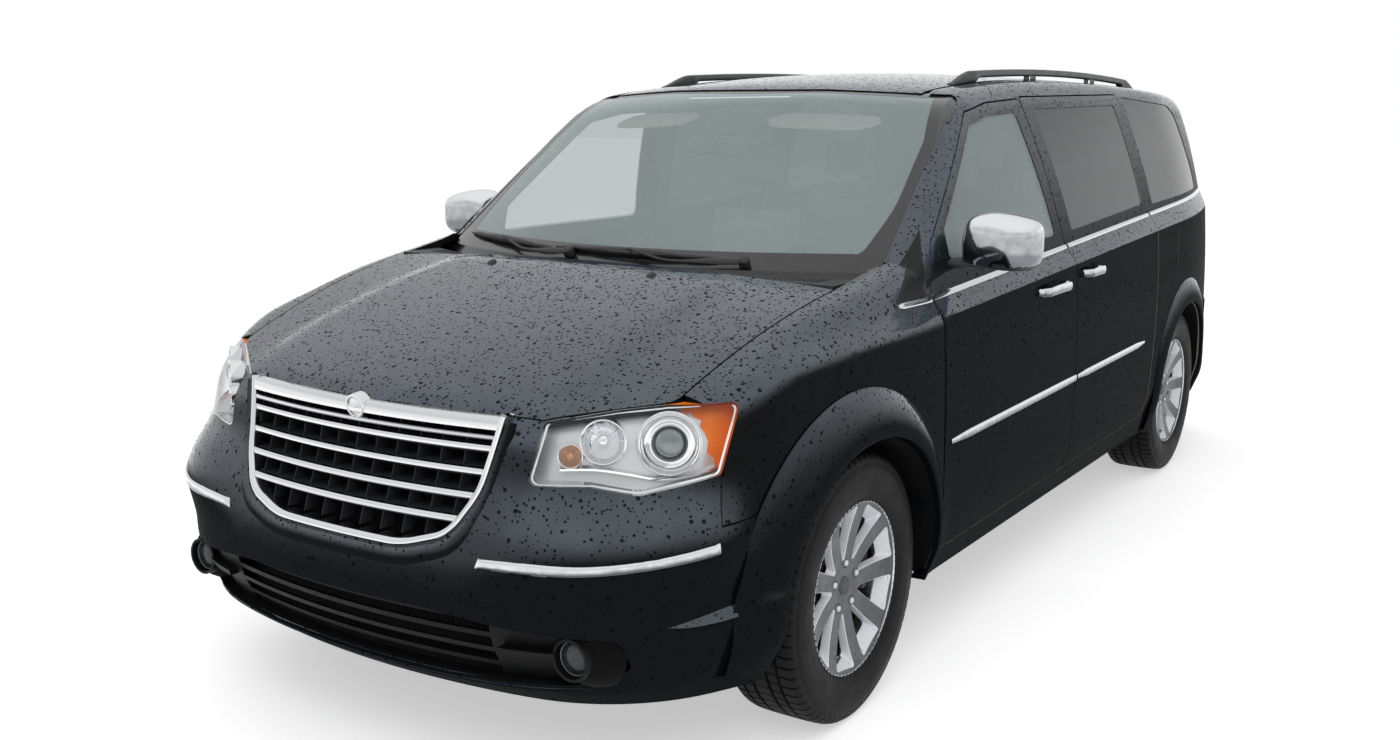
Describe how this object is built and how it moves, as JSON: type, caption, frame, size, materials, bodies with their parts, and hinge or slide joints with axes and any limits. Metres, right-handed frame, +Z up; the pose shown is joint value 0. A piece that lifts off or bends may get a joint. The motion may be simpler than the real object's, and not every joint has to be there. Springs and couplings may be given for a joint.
{
  "type": "minivan",
  "caption": "Family minivan with opening hood, front doors and tailgate, steering front wheels, roof rails and three rows of seats.",
  "frame": {"origin": "on the ground, at the middle of the overall length and width", "axes": "+X to the vehicle's left, -Y to its front, +Z up"},
  "size_m": [2.27, 5.1419, 1.7523],
  "materials": {
    "body_paint": "glossy black paint",
    "glass_clear": "light green tint",
    "glass_dark": "dark privacy tint",
    "chrome": "bright chrome",
    "mirror_chrome": "bright chrome cap on a black base",
    "lamp_lens": "clear moulded lens",
    "tail_lens": "red lens",
    "tyre": "matt black rubber",
    "alloy": "machined silver",
    "cast_iron": "dark casting",
    "chassis_steel": "satin black steel",
    "black_plastic": "grained black",
    "interior_plastic": "grained warm grey",
    "seat_cloth": "warm grey cloth",
    "floor": "dark underseal and carpet",
    "rail_grey": "satin grey"
  },
  "bodies": {
    "body": {"body_side_left": "body_paint", "body_side_right": "body_paint", "cowl": "black_plastic", "dashboard": "interior_plastic", "engine": "cast_iron", "exhaust": "chassis_steel", "fender_left": "body_paint", "fender_right": "body_paint", "floor_pan": "floor", "fog_lamps": "lamp_lens", "front_bumper": "body_paint", "front_seats": "seat_cloth", "front_struts": "chassis_steel", "front_subframe": "chassis_steel", "fuel_tank": "black_plastic", "grille": "chrome", "headlamps": "lamp_lens", "lower_grille": "black_plastic", "rear_axle": "chassis_steel", "rear_bumper": "body_paint", "rear_seats": "seat_cloth", "rear_side_glass": "glass_dark", "roof_panel": "body_paint", "roof_rails": "rail_grey", "sliding_door_left": "body_paint", "sliding_door_right": "body_paint", "steering_wheel": "black_plastic", "taillamps": "tail_lens", "windshield": "glass_clear", "wipers": "black_plastic"},
    "hood": {"hood": "body_paint"},
    "front_door_left": {"front_door_left": "body_paint", "front_door_glass_left": "glass_clear", "mirror_left": "mirror_chrome"},
    "front_door_right": {"front_door_right": "body_paint", "front_door_glass_right": "glass_clear", "mirror_right": "mirror_chrome"},
    "tailgate": {"tailgate": "body_paint", "tailgate_glass": "glass_dark"},
    "knuckle_left": {"knuckle_left": "cast_iron"},
    "knuckle_right": {"knuckle_right": "cast_iron"},
    "wheel_front_left": {"tyre_front_left": "tyre", "rim_front_left": "alloy"},
    "wheel_front_right": {"tyre_front_right": "tyre", "rim_front_right": "alloy"},
    "wheel_rear_left": {"tyre_rear_left": "tyre", "rim_rear_left": "alloy"},
    "wheel_rear_right": {"tyre_rear_right": "tyre", "rim_rear_right": "alloy"}
  },
  "joints": [
    {"name": "steer_left", "type": "hinge", "parent": "body", "child": "knuckle_left", "pos_m": [0.7655, -1.6115, 0.362], "axis": [0, 0, 1], "range_deg": [-32, 32]},
    {"name": "steer_right", "type": "hinge", "parent": "body", "child": "knuckle_right", "pos_m": [-0.7655, -1.6115, 0.362], "axis": [0, 0, 1], "range_deg": [-32, 32]},
    {"name": "spin_front_left", "type": "hinge", "parent": "knuckle_left", "child": "wheel_front_left", "pos_m": [0.8255, -1.6115, 0.362], "axis": [1, 0, 0], "continuous": true},
    {"name": "spin_front_right", "type": "hinge", "parent": "knuckle_right", "child": "wheel_front_right", "pos_m": [-0.8255, -1.6115, 0.362], "axis": [1, 0, 0], "continuous": true},
    {"name": "spin_rear_left", "type": "hinge", "parent": "body", "child": "wheel_rear_left", "pos_m": [0.823, 1.4665, 0.362], "axis": [1, 0, 0], "continuous": true},
    {"name": "spin_rear_right", "type": "hinge", "parent": "body", "child": "wheel_rear_right", "pos_m": [-0.823, 1.4665, 0.362], "axis": [1, 0, 0], "continuous": true},
    {"name": "hood_hinge", "type": "hinge", "parent": "body", "child": "hood", "pos_m": [0, -1.525, 1.168], "axis": [-1, 0, 0], "range_deg": [0, 48]},
    {"name": "door_left_hinge", "type": "hinge", "parent": "body", "child": "front_door_left", "pos_m": [0.978, -1.165, 0.75], "axis": [0, 0, -1], "range_deg": [0, 65]},
    {"name": "door_right_hinge", "type": "hinge", "parent": "body", "child": "front_door_right", "pos_m": [-0.978, -1.165, 0.75], "axis": [0, 0, 1], "range_deg": [0, 65]},
    {"name": "tailgate_hinge", "type": "hinge", "parent": "body", "child": "tailgate", "pos_m": [0, 2.08, 1.7], "axis": [1, 0, 0], "range_deg": [0, 85]}
  ],
  "couplings": [
    {"joint": "steer_right", "follows": "steer_left", "ratio": 1}
  ]
}
